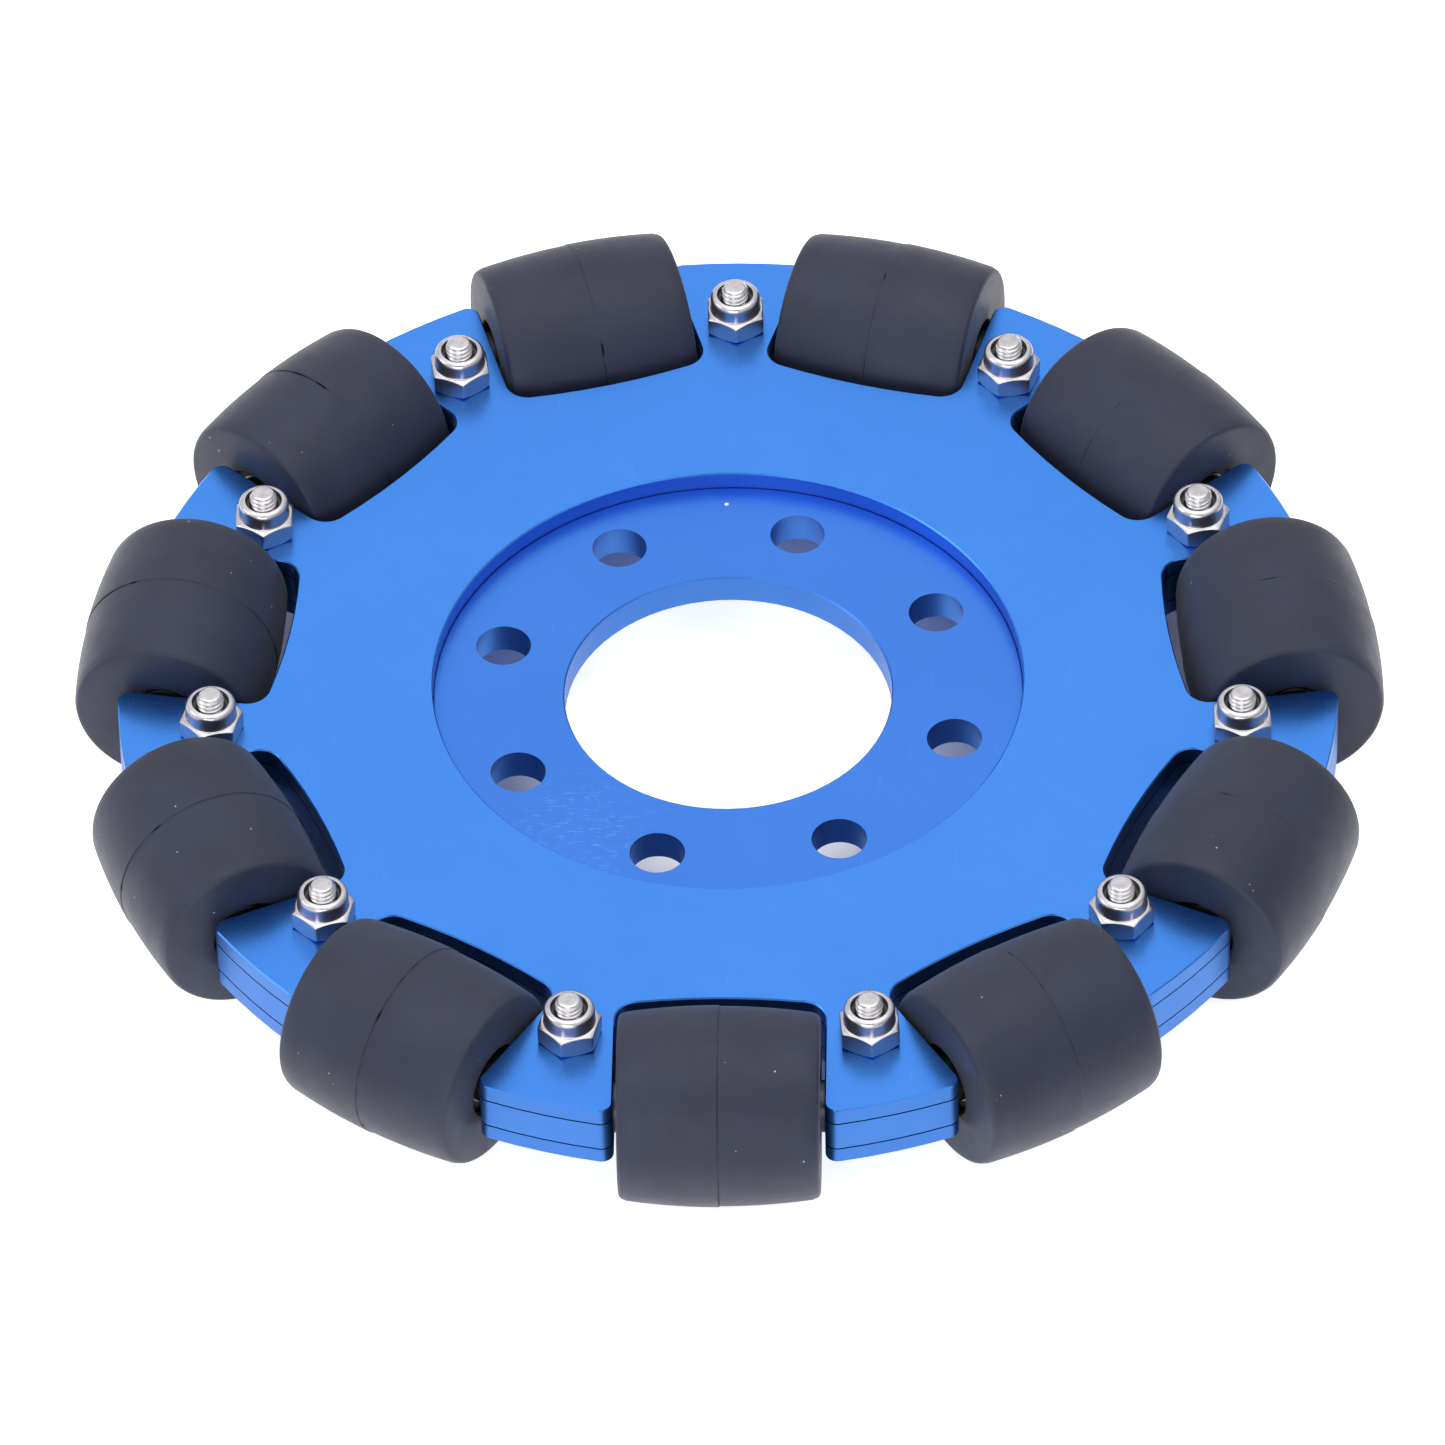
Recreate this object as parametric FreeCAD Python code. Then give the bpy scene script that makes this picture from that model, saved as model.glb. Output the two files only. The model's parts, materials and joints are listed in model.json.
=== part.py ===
import FreeCAD, Part
import math
import os
from FreeCAD import Placement, Rotation, Vector

# Single-row omni wheel, 200 mm across. Three aluminium plates clamp eleven roller axles between
# them. The origin is the centre of the wheel, +Z is the wheel's axle and points to the nut side,
# and one roller is centred on -Y. All sizes are in millimetres.

# Wheel and rollers
wheel_radius = 100.0
roller_count = 11
roller_pitch = 360.0 / roller_count
first_roller_angle = -90.0
roller_circle_radius = 85.0
roller_half_length = 15.0
tyre_edge_radius = 0.9
tyre_lip_radius = 5.8
tyre_lip_length = 1.4
core_radius = 10.5
core_end_gap = 0.1
core_hollow_radius = 7.0

# Plates
plate_radius = 93.0
middle_thickness = 5.0
cover_thickness = 3.0
recess_radius = 45.0
centre_bore_radius = 25.0
edge_break = 0.2
seam_relief_depth = 0.4
seam_relief_height = 0.25
hub_hole_count = 8
hub_hole_radius = 4.2
hub_hole_circle_radius = 36.0
hub_hole_phase = first_roller_angle + 5 * roller_pitch

# Roller pockets: the inner end runs parallel to the roller's crown
pocket_half_width = 15.7
pocket_crown_clearance = 2.0
pocket_corner_radius = 3.5
tooth_corner_radius = 1.8

# Clamp screws (#8-32, 3/4 inch, button head) and lock nuts (#8-32 with a nylon insert)
screw_circle_radius = 79.0
screw_hole_radius = 2.3
screw_radius = 2.08
screw_length = 18.8
thread_pitch = 0.79
thread_depth = 0.42
thread_grooves = 4
thread_mouth_part = 0.42
screw_tip_chamfer = 0.55
head_radius = 3.95
head_height = 2.2
head_top_radius = 2.1
socket_across_flats = 2.4
socket_depth = 1.3
nut_across_flats = 8.6
nut_bore_radius = 2.1
nut_height = 6.3
nut_corner_height = 3.0
nut_shoulder_height = 3.45
nut_ledge_radius = 4.1
nut_collar_radius = 3.85
nut_collar_rounding = 0.9
nut_opening_radius = 2.8
nut_foot_chamfer = 0.35
insert_seat_radius = 3.2
insert_low = 4.4
insert_high = 5.4
insert_lip = 0.15

# How far a corner of each nut, and of each screw's socket, is turned from -Y
nut_turns = (5, 23, 2, -20, -20, 2, 8, 0, -16, -12, -14)
socket_turns = (10, 47, 24, 1, 38, 15, 52, 29, 6, 43, 20)

# Roller axles, bearings (5 x 16 x 5) and spacers
axle_radius = 2.49
axle_half_length = 21.5
axle_end_chamfer = 0.4
axle_slot_half_width = 2.55
axle_slot_end_gap = 0.1
bearing_width = 5.0
bearing_bore_radius = 2.5
bearing_outer_radius = 8.0
bearing_recess = 1.6
inner_ring_radius = 4.1
outer_ring_inner_radius = 6.4
seal_seat_radius = 6.9
seal_seat_depth = 0.6
ball_count = 7
ball_radius = 1.38
ball_circle_radius = 5.25
groove_radius = 1.43
seal_inner_radius = 4.2
seal_thickness = 0.35
seal_recess = 0.15
cage_inner_radius = 4.95
cage_outer_radius = 5.55
cage_half_width = 1.75
cage_pocket_radius = 1.46
spacer_radius = 3.6
washer_radius = 3.9
sleeve_bore_radius = 2.55

# Cutters reach past what they cut; edges are found to within the tolerance
cutter_overshoot = 10.0
tolerance = 0.01
shortest_upright_edge = 0.1

half_middle = middle_thickness / 2
top_face = half_middle + cover_thickness
core_half_length = roller_half_length - tyre_lip_length - core_end_gap
bearing_outer_face = roller_half_length - bearing_recess
bearing_inner_face = bearing_outer_face - bearing_width
bearing_middle = (bearing_outer_face + bearing_inner_face) / 2
z_axis = Vector(0, 0, 1)
origin = Vector(0, 0, 0)


def turn(shape, degrees):
    """A copy of the shape, turned about the wheel's axle."""
    copy = shape.copy()
    copy.rotate(origin, z_axis, degrees)
    return copy


def tooth_angle(index):
    """The direction of the tooth that follows a roller."""
    return first_roller_angle + roller_pitch * (index + 0.5)


def around(shape, count, phase):
    """Copies of the shape, evenly spaced about the wheel's axle."""
    return [turn(shape, phase + 360.0 / count * index) for index in range(count)]


def on_roller_axis(shape):
    """Stand a shape made about +Z on the roller axis that crosses +X."""
    copy = shape.copy()
    copy.rotate(origin, Vector(1, 0, 0), -90)
    copy.translate(Vector(roller_circle_radius, 0, 0))
    return copy


def both_ends(shape):
    """The shape and its mirror image in the plane across the middle of a roller."""
    return [shape, shape.mirror(origin, z_axis)]


def revolve(points):
    """A solid turned from an outline of (radius, height) points."""
    corners = [Vector(radius, 0, height) for radius, height in points]
    face = Part.Face(Part.makePolygon(corners + corners[:1]))
    return face.revolve(origin, z_axis, 360)


def revolve_edges(edges):
    """A solid turned from a closed chain of edges in the XZ plane."""
    return Part.Face(Part.Wire(edges)).revolve(origin, z_axis, 360)


def line(start, end):
    """A straight edge between two (radius, height) points."""
    return Part.LineSegment(Vector(start[0], 0, start[1]), Vector(end[0], 0, end[1])).toShape()


def arc(start, middle, end):
    """A round edge through three (radius, height) points."""
    places = [Vector(radius, 0, height) for radius, height in (start, middle, end)]
    return Part.Arc(*places).toShape()


def tube(inner, outer, low, high):
    """A plain round sleeve about +Z."""
    return revolve([(inner, low), (outer, low), (outer, high), (inner, high)])


def hexagon(across_flats, low, height):
    """A hexagonal prism about +Z."""
    corner = across_flats / math.sqrt(3)
    sides = 6
    points = []
    for index in range(sides + 1):
        angle = 2 * math.pi / sides * index
        points.append(Vector(corner * math.cos(angle), corner * math.sin(angle), low))
    return Part.Face(Part.makePolygon(points)).extrude(Vector(0, 0, height))


def upright_edges(shape, radius_low, radius_high):
    """The edges parallel to Z whose distance from the axle is in the given span."""
    found = []
    for edge in shape.Edges:
        ends = [vertex.Point for vertex in edge.Vertexes]
        if len(ends) != 2 or abs(ends[0].z - ends[1].z) < shortest_upright_edge:
            continue
        if radius_low < math.hypot(ends[0].x, ends[0].y) < radius_high:
            found.append(edge)
    return found


def rim_edges(shape, height):
    """The edges that lie at one height."""
    found = []
    for edge in shape.Edges:
        box = edge.BoundBox
        if box.ZLength < tolerance and abs(box.ZMin - height) < tolerance:
            found.append(edge)
    return found


def inner_edges(shape, height, reach):
    """The edges at one height that start within a distance of the axle."""
    found = []
    for edge in rim_edges(shape, height):
        start = edge.Vertexes[0].Point
        if math.hypot(start.x, start.y) < reach:
            found.append(edge)
    return found


def roller_pocket(margin):
    """The space cut out of the plates for one roller on +X, made larger by a margin all round."""
    half_width = pocket_half_width + margin
    end_radius = wheel_radius + pocket_crown_clearance + margin
    crown_centre = 2 * roller_circle_radius
    side_start = crown_centre - math.sqrt(end_radius ** 2 - half_width ** 2)
    outside = plate_radius + cutter_overshoot
    height = 2 * (top_face + cutter_overshoot)
    near_left = Vector(side_start, -half_width, -height / 2)
    near_right = Vector(side_start, half_width, -height / 2)
    deepest = Vector(crown_centre - end_radius, 0, -height / 2)
    far_right = Vector(outside, half_width, -height / 2)
    far_left = Vector(outside, -half_width, -height / 2)
    edges = [
        Part.Arc(near_left, deepest, near_right).toShape(),
        Part.LineSegment(near_right, far_right).toShape(),
        Part.LineSegment(far_right, far_left).toShape(),
        Part.LineSegment(far_left, near_left).toShape(),
    ]
    solid = Part.Face(Part.Wire(edges)).extrude(Vector(0, 0, height))
    corners = upright_edges(solid, 0, plate_radius)
    return solid.makeFillet(pocket_corner_radius + margin, corners)


def blank(opening_radius, low, high, margin):
    """A toothed disc with an opening, made smaller by a margin along its outer outline."""
    base = Vector(0, 0, low)
    rim = plate_radius - margin
    solid = Part.makeCylinder(rim, high - low, base)
    solid = solid.cut(Part.makeCylinder(opening_radius, high - low, base))
    solid = solid.cut(around(roller_pocket(margin), roller_count, first_roller_angle))
    corners = upright_edges(solid, rim - tolerance, rim + tolerance)
    return solid.makeFillet(tooth_corner_radius - margin, corners)


def with_screw_holes(solid, low, high):
    """The plate with a screw hole in each tooth."""
    hole = Part.makeCylinder(screw_hole_radius, high - low, Vector(screw_circle_radius, 0, low))
    tooth_phase = first_roller_angle + roller_pitch / 2
    return solid.cut(around(hole, roller_count, tooth_phase)).Solids[0]


def cover_plate():
    """The top plate, with a narrow step along its teeth where it meets the middle plate."""
    step_top = half_middle + seam_relief_height
    solid = blank(recess_radius, step_top, top_face, 0)
    solid = solid.makeChamfer(edge_break, rim_edges(solid, top_face))
    foot = blank(recess_radius, half_middle, step_top, seam_relief_depth)
    return with_screw_holes(solid.fuse(foot), half_middle, top_face)


def axle_slot():
    """The slot for one whole axle, on the roller axis that crosses +X."""
    reach = axle_half_length + axle_slot_end_gap
    corner = Vector(roller_circle_radius - axle_slot_half_width, -reach, -half_middle)
    return Part.makeBox(2 * axle_slot_half_width, 2 * reach, middle_thickness, corner)


def middle_plate():
    """The core plate, with the hub holes and the slots that hold the axles."""
    solid = blank(centre_bore_radius, -half_middle, half_middle, 0)
    centre = Vector(hub_hole_circle_radius, 0, -half_middle)
    hole = Part.makeCylinder(hub_hole_radius, middle_thickness, centre)
    solid = solid.cut(around(hole, hub_hole_count, hub_hole_phase))
    reach = (centre_bore_radius + hub_hole_circle_radius - hub_hole_radius) / 2
    bore_edges = inner_edges(solid, half_middle, reach)
    bore_edges += inner_edges(solid, -half_middle, reach)
    solid = solid.makeChamfer(edge_break, bore_edges)
    solid = solid.cut(around(axle_slot(), roller_count, first_roller_angle))
    return with_screw_holes(solid, -half_middle, half_middle)


def clamp_screw():
    """A button head screw, with its head's seat at the height of 0 and its tip upwards."""
    head_shoulder = 0.3
    crown_radius_part = 0.82
    crown_height_part = 0.6
    thread_end_radius = screw_radius - screw_tip_chamfer
    shoulder = (head_radius, -head_shoulder)
    crown = (head_radius * crown_radius_part, -head_height * crown_height_part)
    head_edge = (head_top_radius, -head_height)
    edges = [
        line((0, -head_height), head_edge),
        arc(head_edge, crown, shoulder),
        line(shoulder, (head_radius, 0)),
        line((head_radius, 0), (screw_radius, 0)),
        line((screw_radius, 0), (screw_radius, screw_length - screw_tip_chamfer)),
        line((screw_radius, screw_length - screw_tip_chamfer), (thread_end_radius, screw_length)),
        line((thread_end_radius, screw_length), (0, screw_length)),
        line((0, screw_length), (0, -head_height)),
    ]
    screw = revolve_edges(edges)
    overshoot = 0.2
    for index in range(thread_grooves):
        height = screw_length - (index + 1) * thread_pitch
        half_mouth = thread_pitch * thread_mouth_part
        groove = revolve([
            (screw_radius - thread_depth, height),
            (screw_radius, height - half_mouth),
            (screw_radius + overshoot, height - half_mouth),
            (screw_radius + overshoot, height + half_mouth),
            (screw_radius, height + half_mouth),
        ])
        screw = screw.cut(groove)
    return screw.cut(hexagon(socket_across_flats, -head_height, socket_depth)).Solids[0]


def lock_nut():
    """A hexagonal nut whose round collar holds the nylon insert, standing on the height of 0."""
    corner_radius = nut_across_flats / math.sqrt(3)
    foot = nut_foot_chamfer
    rounding_start = (nut_collar_radius, nut_height - nut_collar_rounding)
    rounding_end = (nut_collar_radius - nut_collar_rounding, nut_height)
    slant = nut_collar_rounding * (1 - math.sqrt(0.5))
    rounding_middle = (nut_collar_radius - slant, nut_height - slant)
    outline_start = (nut_bore_radius, foot)
    edges = [
        line(outline_start, (nut_bore_radius + foot, 0)),
        line((nut_bore_radius + foot, 0), (nut_across_flats / 2, 0)),
        line((nut_across_flats / 2, 0), (corner_radius, foot)),
        line((corner_radius, foot), (corner_radius, nut_corner_height)),
        line((corner_radius, nut_corner_height), (nut_ledge_radius, nut_shoulder_height)),
        line((nut_ledge_radius, nut_shoulder_height), (nut_collar_radius, nut_shoulder_height)),
        line((nut_collar_radius, nut_shoulder_height), rounding_start),
        arc(rounding_start, rounding_middle, rounding_end),
        line(rounding_end, (nut_opening_radius, nut_height)),
        line((nut_opening_radius, nut_height), (nut_opening_radius, insert_high + insert_lip)),
        line((nut_opening_radius, insert_high + insert_lip), (insert_seat_radius, insert_high)),
        line((insert_seat_radius, insert_high), (insert_seat_radius, insert_low)),
        line((insert_seat_radius, insert_low), (nut_bore_radius, insert_low)),
        line((nut_bore_radius, insert_low), outline_start),
    ]
    return revolve_edges(edges).common(hexagon(nut_across_flats, 0, nut_height)).Solids[0]


def on_each_tooth(shape, height, turns):
    """Copies of a fastener on the screw circle, each turned about itself from -Y."""
    copies = []
    for index, own_turn in enumerate(turns):
        place = turn(Part.Vertex(screw_circle_radius, 0, height), tooth_angle(index)).Point
        copy = turn(shape, own_turn - 90)
        copy.translate(place)
        copies.append(copy)
    return copies


def axle():
    """A roller axle with chamfered ends, about +Z."""
    end_radius = axle_radius - axle_end_chamfer
    shoulder = axle_half_length - axle_end_chamfer
    return revolve([
        (0, -axle_half_length),
        (end_radius, -axle_half_length),
        (axle_radius, -shoulder),
        (axle_radius, shoulder),
        (end_radius, axle_half_length),
        (0, axle_half_length),
    ])


def tyre():
    """The rubber tyre: its crown follows the wheel's outer circle, and its lips hold the core."""
    edge_height = roller_half_length
    lip_start = edge_height - tyre_lip_length
    crown_end = math.sqrt(wheel_radius ** 2 - edge_height ** 2) - roller_circle_radius
    crown_middle = wheel_radius - roller_circle_radius
    edges = [
        line((tyre_lip_radius, -edge_height), (crown_end, -edge_height)),
        arc((crown_end, -edge_height), (crown_middle, 0), (crown_end, edge_height)),
        line((crown_end, edge_height), (tyre_lip_radius, edge_height)),
        line((tyre_lip_radius, edge_height), (tyre_lip_radius, lip_start)),
        line((tyre_lip_radius, lip_start), (core_radius, lip_start)),
        line((core_radius, lip_start), (core_radius, -lip_start)),
        line((core_radius, -lip_start), (tyre_lip_radius, -lip_start)),
        line((tyre_lip_radius, -lip_start), (tyre_lip_radius, -edge_height)),
    ]
    solid = revolve_edges(edges)
    ends = []
    for edge in solid.Edges:
        box = edge.BoundBox
        if box.ZLength < tolerance and box.XMax > core_radius + tyre_edge_radius:
            ends.append(edge)
    return solid.makeFillet(tyre_edge_radius, ends).Solids[0]


def core():
    """The hard sleeve in the tyre, with a bearing seat in each end."""
    return revolve([
        (bearing_outer_radius, -core_half_length),
        (core_radius, -core_half_length),
        (core_radius, core_half_length),
        (bearing_outer_radius, core_half_length),
        (bearing_outer_radius, bearing_inner_face),
        (core_hollow_radius, bearing_inner_face),
        (core_hollow_radius, -bearing_inner_face),
        (bearing_outer_radius, -bearing_inner_face),
    ])


def ball_groove():
    """The ring of space that the balls of the upper bearing run in."""
    return Part.makeTorus(ball_circle_radius, groove_radius, Vector(0, 0, bearing_middle))


def inner_ring():
    """The inner ring of the upper bearing."""
    ring = tube(bearing_bore_radius, inner_ring_radius, bearing_inner_face, bearing_outer_face)
    return ring.cut(ball_groove()).Solids[0]


def outer_ring():
    """The outer ring of the upper bearing, with a seat for a seal in each face."""
    low = bearing_inner_face
    high = bearing_outer_face
    ring = revolve([
        (bearing_outer_radius, low),
        (bearing_outer_radius, high),
        (seal_seat_radius, high),
        (seal_seat_radius, high - seal_seat_depth),
        (outer_ring_inner_radius, high - seal_seat_depth),
        (outer_ring_inner_radius, low + seal_seat_depth),
        (seal_seat_radius, low + seal_seat_depth),
        (seal_seat_radius, low),
    ])
    return ring.cut(ball_groove()).Solids[0]


def seals():
    """The two seals of the upper bearing."""
    outside_high = bearing_outer_face - seal_recess
    outside_low = outside_high - seal_thickness
    inside_low = bearing_inner_face + seal_recess
    inside_high = inside_low + seal_thickness
    outside = tube(seal_inner_radius, seal_seat_radius, outside_low, outside_high)
    inside = tube(seal_inner_radius, seal_seat_radius, inside_low, inside_high)
    return [outside, inside]


def balls_and_cage():
    """The balls of the upper bearing, and the cage that spaces them."""
    phase = 180.0 / ball_count
    place = Vector(ball_circle_radius, 0, bearing_middle)
    balls = around(Part.makeSphere(ball_radius, place), ball_count, phase)
    inside = Vector(cage_inner_radius / 2, 0, bearing_middle)
    reach = cage_outer_radius
    pocket = Part.makeCylinder(cage_pocket_radius, reach, inside, Vector(1, 0, 0))
    low = bearing_middle - cage_half_width
    high = bearing_middle + cage_half_width
    cage = tube(cage_inner_radius, cage_outer_radius, low, high)
    cage = cage.cut(around(pocket, ball_count, phase))
    return balls + [cage.Solids[0]]


def washer():
    """The washer between the upper bearing's inner ring and the tooth beside it."""
    return tube(sleeve_bore_radius, washer_radius, bearing_outer_face, pocket_half_width)


def mirrored_pair(solids):
    """Solids of the upper bearing, with the same for the lower one."""
    pair = []
    for solid in solids:
        pair.extend(both_ends(solid))
    return pair


def save(name, solids):
    """Write one node, as one solid or a group of separate solids."""
    shape = solids[0] if len(solids) == 1 else Part.makeCompound(solids)
    shape.exportStep("parts/" + name + ".step")


def on_every_roller(solids):
    """Copies of a roller's solids at each of the roller places."""
    copies = []
    for solid in solids:
        copies.extend(around(on_roller_axis(solid), roller_count, first_roller_angle))
    return copies


def save_plates():
    """The three plates of the frame."""
    top = cover_plate()
    save("top_plate", [top])
    save("middle_plate", [middle_plate()])
    save("bottom_plate", [top.mirror(origin, z_axis)])


def save_fasteners():
    """The screws, nuts and nylon inserts."""
    nut_insert = tube(nut_bore_radius, insert_seat_radius, insert_low, insert_high)
    save("clamp_screws", on_each_tooth(clamp_screw(), -top_face, socket_turns))
    save("lock_nuts", on_each_tooth(lock_nut(), top_face, nut_turns))
    save("nut_inserts", on_each_tooth(nut_insert, top_face, nut_turns))


def save_axles():
    """The pins, and everything on them that stands still."""
    spacer = tube(sleeve_bore_radius, spacer_radius, -bearing_inner_face, bearing_inner_face)
    save("roller_axles", on_every_roller([axle()]))
    save("axle_washers", on_every_roller(both_ends(washer())))
    save("bearing_inner_rings", on_every_roller(both_ends(inner_ring())))
    save("inner_spacers", on_every_roller([spacer]))


def save_rollers():
    """The pieces that turn, one set of nodes for each roller."""
    pieces = {
        "tyre": [tyre()],
        "core": [core()],
        "bearings": mirrored_pair([outer_ring()] + balls_and_cage()),
        "seals": mirrored_pair(seals()),
    }
    for index in range(roller_count):
        angle = first_roller_angle + roller_pitch * index
        for piece, solids in pieces.items():
            placed = [turn(on_roller_axis(solid), angle) for solid in solids]
            save("roller_{:02d}_{}".format(index + 1, piece), placed)


os.makedirs("parts", exist_ok=True)
save_plates()
save_fasteners()
save_axles()
save_rollers()
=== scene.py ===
import json
import math
import random

import bpy
from mathutils import Matrix, Vector


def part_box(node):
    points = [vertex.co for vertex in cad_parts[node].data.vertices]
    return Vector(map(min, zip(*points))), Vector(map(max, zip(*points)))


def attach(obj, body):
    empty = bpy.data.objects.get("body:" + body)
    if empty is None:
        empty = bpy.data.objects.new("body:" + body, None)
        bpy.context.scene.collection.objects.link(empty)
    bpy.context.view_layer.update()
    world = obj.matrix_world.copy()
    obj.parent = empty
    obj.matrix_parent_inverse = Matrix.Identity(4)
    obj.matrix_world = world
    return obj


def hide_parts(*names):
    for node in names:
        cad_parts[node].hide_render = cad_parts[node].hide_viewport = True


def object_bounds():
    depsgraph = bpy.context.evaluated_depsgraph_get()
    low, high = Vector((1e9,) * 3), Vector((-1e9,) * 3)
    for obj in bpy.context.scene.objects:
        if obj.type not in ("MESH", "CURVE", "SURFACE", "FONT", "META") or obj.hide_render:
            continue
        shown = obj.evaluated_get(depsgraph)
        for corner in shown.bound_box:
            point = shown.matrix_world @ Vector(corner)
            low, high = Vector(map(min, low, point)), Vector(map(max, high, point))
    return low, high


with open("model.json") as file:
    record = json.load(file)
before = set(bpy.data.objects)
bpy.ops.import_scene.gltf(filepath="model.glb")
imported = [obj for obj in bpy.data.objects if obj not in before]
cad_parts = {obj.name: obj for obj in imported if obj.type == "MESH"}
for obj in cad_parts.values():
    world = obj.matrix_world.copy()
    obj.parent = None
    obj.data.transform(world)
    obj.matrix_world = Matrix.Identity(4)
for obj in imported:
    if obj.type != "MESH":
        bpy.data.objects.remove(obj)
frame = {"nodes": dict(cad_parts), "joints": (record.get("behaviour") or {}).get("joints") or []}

# A single-row omni wheel, 200 mm across: three blue anodised plates that clamp eleven rubber
# rollers on tangential pins, held by screws and lock nuts. Metres, +Z is the wheel's axle.

CAD_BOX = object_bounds()
MM = 0.001
SEED = 20

# Where the wheel's pieces are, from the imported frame
JOINTS = sorted(frame["joints"], key=lambda joint: joint["name"])
ROLLER_COUNT = len(JOINTS)
PITCH = 2 * math.pi / ROLLER_COUNT
FIRST_PLACE = Vector(JOINTS[0]["pos_m"])
ROLLER_CIRCLE = FIRST_PLACE.length
FIRST_ANGLE = math.atan2(FIRST_PLACE.y, FIRST_PLACE.x)
FIRST_LOW, FIRST_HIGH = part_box("roller_01_tyre")
HALF_LENGTH = FIRST_HIGH.x
WHEEL_RADIUS = -FIRST_LOW.y
GROUND = CAD_BOX[0][2]
PLATE_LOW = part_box("bottom_plate")[0].z
PLATE_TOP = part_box("top_plate")[1].z
NUT_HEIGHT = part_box("lock_nuts")[1].z - PLATE_TOP
SCREW_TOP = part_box("clamp_screws")[1].z
HEAD_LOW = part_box("clamp_screws")[0].z

# Fasteners
SCREW_CIRCLE = 79 * MM
NUT_TURNS = (5, 23, 2, -20, -20, 2, 8, 0, -16, -12, -14)
SOCKET_TURNS = (10, 47, 24, 1, 38, 15, 52, 29, 6, 43, 20)
THREAD_RADIUS = 2.08 * MM
THREAD_DEPTH = 0.42 * MM
THREAD_PITCH = 0.79 * MM

# Camera
CAMERA_DISTANCE = 2.141
CAMERA_AZIMUTH = math.radians(1.91)
CAMERA_ELEVATION = math.radians(44.53)
CAMERA_ROLL = math.radians(1.44)
CAMERA_LENS = 350.1
CAMERA_SHIFT = (-0.0037, -0.031)
CAMERA_SENSOR = 36
CAMERA_CLIP = (0.05, 50)

# Light: the surround's brightness at rising heights (the sine of the elevation), the darker
# patch around the camera, with its inner and outer angles in degrees, and the dimmer low right
ZENITH_LIGHT = 2.2
SKY_LEVELS = ((0.0, 0.78), (0.4, 0.92), (0.74, 1.0), (0.84, 1.4), (0.95, ZENITH_LIGHT))
PATCH_INNER = 7
PATCH_OUTER = 18
PATCH_LEVEL = 0.3
RIGHT_SPAN = (0.08, 0.4)
RIGHT_LEVEL = 0.6
LOW_RIGHT = (1, 0, -0.8)
KEY_LIGHT = {"place": (-1.7, -0.1, 1.1), "size": 1.0, "power": 4}
FRONT_LIGHT = {"place": (-0.3, -2.0, 0.5), "size": 1.4, "power": 14}

# The floor's own light: it lifts the soft shade around the wheel and what shows through the
# bore, and leaves the floor under the plates dark. Each span is where a level fades to another
FLOOR_HALF = 6.0
GLOW = 0.75
GLOW_SHADED = 0.03
BORE_VIEW = (0, 0.0175)
BORE_VIEW_SPAN = (0.027, 0.032)
BORE_SHADE = (0, 0.042)
BORE_SHADE_SPAN = (0.036, 0.062)
WHEEL_SPAN = (0.084, 0.096)
OPEN_FLOOR_SPAN = (0.11, 0.18)


def link(obj):
    """Put an object in the scene."""
    bpy.context.scene.collection.objects.link(obj)
    return obj


# ---------------------------------------------------------------- camera, light and floor

def make_camera():
    """The camera, aimed at the middle of the top face and rolled a little."""
    data = bpy.data.cameras.new("camera")
    data.lens = CAMERA_LENS
    data.sensor_width = CAMERA_SENSOR
    data.shift_x, data.shift_y = CAMERA_SHIFT
    data.clip_start, data.clip_end = CAMERA_CLIP
    camera = link(bpy.data.objects.new("camera", data))
    target = Vector((0, 0, PLATE_TOP))
    back = camera_direction()
    camera.location = target + back * CAMERA_DISTANCE
    upright = back.to_track_quat("Z", "Y").to_matrix().to_4x4()
    turned = upright @ Matrix.Rotation(-CAMERA_ROLL, 4, "Z")
    camera.matrix_world = Matrix.Translation(camera.location) @ turned
    bpy.context.scene.camera = camera


def camera_direction():
    """The direction from the wheel to the camera."""
    flat = math.cos(CAMERA_ELEVATION)
    return Vector((
        math.sin(CAMERA_AZIMUTH) * flat,
        -math.cos(CAMERA_AZIMUTH) * flat,
        math.sin(CAMERA_ELEVATION),
    ))


def area_light(name, place, size, power):
    """A square soft light that faces the wheel."""
    data = bpy.data.lights.new(name, "AREA")
    data.size = size
    data.energy = power
    light = link(bpy.data.objects.new(name, data))
    light.location = place
    light.rotation_euler = Vector(place).to_track_quat("Z", "Y").to_euler()


def direction_fade(tree, value, from_span, to_span):
    """Fade smoothly from one level to another over a span of a direction's number."""
    fade = tree.nodes.new("ShaderNodeMapRange")
    fade.interpolation_type = "SMOOTHSTEP"
    names = ("From Min", "From Max", "To Min", "To Max")
    for name, number in zip(names, from_span + to_span):
        fade.inputs[name].default_value = number
    tree.links.new(value, fade.inputs["Value"])
    return fade.outputs["Result"]


def direction_along(tree, place, direction):
    """How far each direction of the surround points along a given one."""
    dot = tree.nodes.new("ShaderNodeVectorMath")
    dot.operation = "DOT_PRODUCT"
    dot.inputs[1].default_value = direction
    tree.links.new(place, dot.inputs[0])
    return dot.outputs["Value"]


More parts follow.
